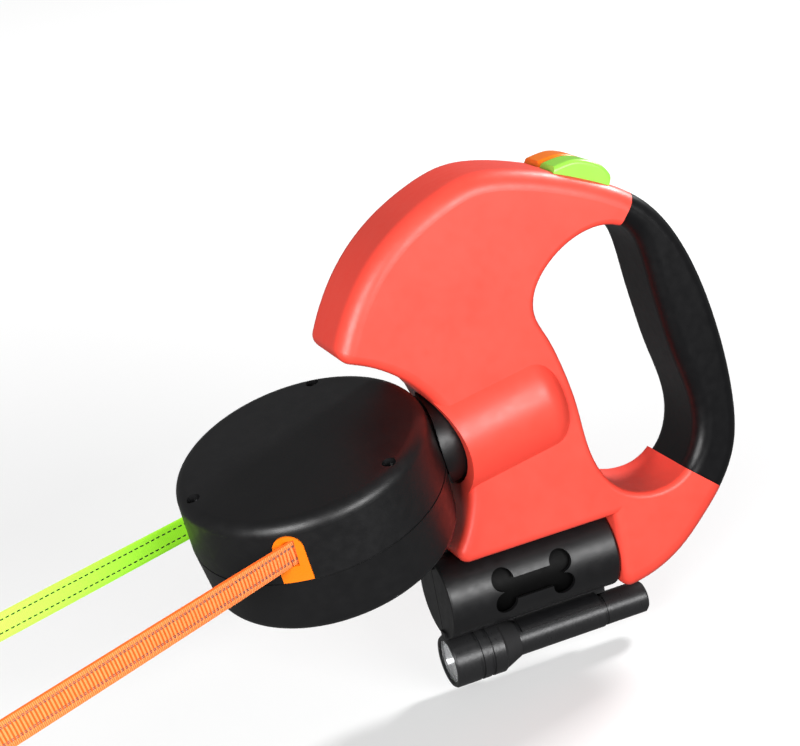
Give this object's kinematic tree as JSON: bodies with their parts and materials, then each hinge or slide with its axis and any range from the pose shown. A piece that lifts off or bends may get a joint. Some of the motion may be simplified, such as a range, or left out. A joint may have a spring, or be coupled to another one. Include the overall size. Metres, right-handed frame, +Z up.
{
  "type": "retractable dog leash",
  "caption": "D-handled retractable dog leash with a swivelling drum that reels twin webbing leads, thumb brake buttons, a bag holder and a clip-in torch.",
  "frame": {"origin": "middle of the hand grip, on the plane the handle's two shells split on", "axes": "+X back from the drum to the grip, -X towards the dogs; +Y to the handle's far side; +Z up towards the thumb buttons"},
  "size_m": [0.3888, 0.1617, 0.2108],
  "materials": {
    "red_shell": "satin red ABS",
    "black_grip": "soft black thermoplastic rubber",
    "black_plastic": "satin black ABS",
    "acetal": "smooth natural acetal",
    "steel": "bright zinc-plated steel",
    "spring_steel": "blued spring steel",
    "orange_plastic": "satin orange plastic",
    "green_plastic": "satin lime green plastic",
    "orange_webbing": "ribbed orange polyester webbing with reflective yarn lines",
    "green_webbing": "flat lime green polyester webbing with dark stitch lines",
    "black_film": "thin black bag film",
    "cardboard": "plain card tube",
    "anodised": "black anodised aluminium",
    "reflector": "bright reflector",
    "lens": "clear torch window",
    "led_board": "yellow phosphor LED on a pale board",
    "battery": "plain wrapped AAA cell",
    "black_rubber": "soft black switch cap"
  },
  "bodies": {
    "handle": {"housing_near": "red_shell", "housing_far": "red_shell", "grip_near": "black_grip", "grip_far": "black_grip", "housing_screws": "steel", "swivel_bush": "acetal", "button_spring_green": "spring_steel", "button_spring_orange": "spring_steel", "holder_rear": "black_plastic", "holder_pegs": "black_plastic"},
    "drum": {"drum_shell_upper": "black_plastic", "drum_shell_lower": "black_plastic", "drum_screws": "steel", "drum_neck": "black_plastic", "neck_retainer": "steel", "drum_axle": "steel", "divider_plate": "black_plastic", "exit_insert_orange": "orange_plastic", "exit_insert_green": "green_plastic", "spring_arbor_orange": "spring_steel", "spring_arbor_green": "spring_steel", "lead_orange": "orange_webbing", "lead_green": "green_webbing", "hook_eye_orange": "steel", "hook_eye_green": "steel"},
    "spool_orange": {"spool_orange": "acetal", "spool_cover_orange": "acetal", "power_spring_orange": "spring_steel", "wound_tape_orange": "orange_webbing"},
    "brake_tooth_orange": {"brake_tooth_orange": "steel"},
    "button_orange": {"button_orange": "orange_plastic"},
    "hook_orange": {"hook_body_orange": "steel", "hook_spring_orange": "spring_steel"},
    "bolt_orange": {"hook_bolt_orange": "steel"},
    "spool_green": {"spool_green": "acetal", "spool_cover_green": "acetal", "power_spring_green": "spring_steel", "wound_tape_green": "green_webbing"},
    "brake_tooth_green": {"brake_tooth_green": "steel"},
    "button_green": {"button_green": "green_plastic"},
    "hook_green": {"hook_body_green": "steel", "hook_spring_green": "spring_steel"},
    "bolt_green": {"hook_bolt_green": "steel"},
    "push_rod": {"push_rod": "steel"},
    "push_tube": {"push_tube": "steel"},
    "holder_front": {"holder_front": "black_plastic"},
    "bag_roll": {"bag_roll": "black_film", "bag_roll_core": "cardboard"},
    "torch": {"torch_head": "anodised", "torch_lens": "lens", "torch_reflector": "reflector", "torch_led": "led_board", "torch_barrel": "anodised", "torch_battery": "battery", "torch_spring": "spring_steel", "torch_tail_cap": "anodised"},
    "torch_switch": {"torch_switch": "black_rubber"}
  },
  "joints": [
    {"name": "drum_swivel", "type": "hinge", "parent": "handle", "child": "drum", "pos_m": [-0.1623, 0, -0.0381], "axis": [0.9845, 0, 0.1754], "continuous": true},
    {"name": "spool_orange_spin", "type": "hinge", "parent": "drum", "child": "spool_orange", "pos_m": [-0.1623, 0, -0.0381], "axis": [-0.1729, -0.1685, 0.9704], "continuous": true},
    {"name": "button_orange_press", "type": "slide", "parent": "handle", "child": "button_orange", "axis": [-0.4019, 0, -0.9157], "range_m": [0, 0.0032], "stiffness_N_per_m": 700, "springref_m": -0.002, "deforming": ["button_spring_orange"]},
    {"name": "push_rod_slide", "type": "slide", "parent": "handle", "child": "push_rod", "axis": [-0.9845, 0, -0.1754], "range_m": [0, 0.0028]},
    {"name": "brake_tooth_orange_slide", "type": "slide", "parent": "drum", "child": "brake_tooth_orange", "axis": [-0.9845, 0, -0.1754], "range_m": [0, 0.0028]},
    {"name": "hook_orange_swivel", "type": "hinge", "parent": "drum", "child": "hook_orange", "pos_m": [-0.33186, -0.09175, -0.056], "axis": [-0.9467, -0.298, -0.1221], "continuous": true},
    {"name": "hook_orange_bolt", "type": "slide", "parent": "hook_orange", "child": "bolt_orange", "axis": [0.9467, 0.298, 0.1221], "range_m": [0, 0.0064], "stiffness_N_per_m": 250, "springref_m": -0.002, "deforming": ["hook_spring_orange"]},
    {"name": "spool_green_spin", "type": "hinge", "parent": "drum", "child": "spool_green", "pos_m": [-0.1623, 0, -0.0381], "axis": [-0.1729, -0.1685, 0.9704], "continuous": true},
    {"name": "button_green_press", "type": "slide", "parent": "handle", "child": "button_green", "axis": [-0.4019, 0, -0.9157], "range_m": [0, 0.0032], "stiffness_N_per_m": 700, "springref_m": -0.002, "deforming": ["button_spring_green"]},
    {"name": "push_tube_slide", "type": "slide", "parent": "handle", "child": "push_tube", "axis": [-0.9845, 0, -0.1754], "range_m": [0, 0.0028]},
    {"name": "brake_tooth_green_slide", "type": "slide", "parent": "drum", "child": "brake_tooth_green", "axis": [-0.9845, 0, -0.1754], "range_m": [0, 0.0028]},
    {"name": "hook_green_swivel", "type": "hinge", "parent": "drum", "child": "hook_green", "pos_m": [-0.31771, 0.04086, -0.07209], "axis": [-0.9822, -0.0443, -0.1826], "continuous": true},
    {"name": "hook_green_bolt", "type": "slide", "parent": "hook_green", "child": "bolt_green", "axis": [0.9822, 0.0443, 0.1826], "range_m": [0, 0.0064], "stiffness_N_per_m": 250, "springref_m": -0.002, "deforming": ["hook_spring_green"]},
    {"name": "holder_front_release", "type": "slide", "parent": "handle", "child": "holder_front", "axis": [0, -1, 0], "range_m": [0, 0.03]},
    {"name": "bag_roll_spin", "type": "hinge", "parent": "handle", "child": "bag_roll", "pos_m": [-0.0844, 0, -0.0952], "axis": [1, 0, 0], "continuous": true},
    {"name": "torch_slide_out", "type": "slide", "parent": "handle", "child": "torch", "axis": [-1, 0, 0], "range_m": [0, 0.052]},
    {"name": "torch_switch_press", "type": "slide", "parent": "torch", "child": "torch_switch", "axis": [-1, 0, 0], "range_m": [0, 0.0012], "stiffness_N_per_m": 900, "springref_m": -0.001}
  ],
  "couplings": [
    {"joint": "push_rod_slide", "follows": "button_orange_press", "ratio": 0.86},
    {"joint": "brake_tooth_orange_slide", "follows": "button_orange_press", "ratio": 0.86},
    {"joint": "push_tube_slide", "follows": "button_green_press", "ratio": 0.86},
    {"joint": "brake_tooth_green_slide", "follows": "button_green_press", "ratio": 0.86}
  ]
}
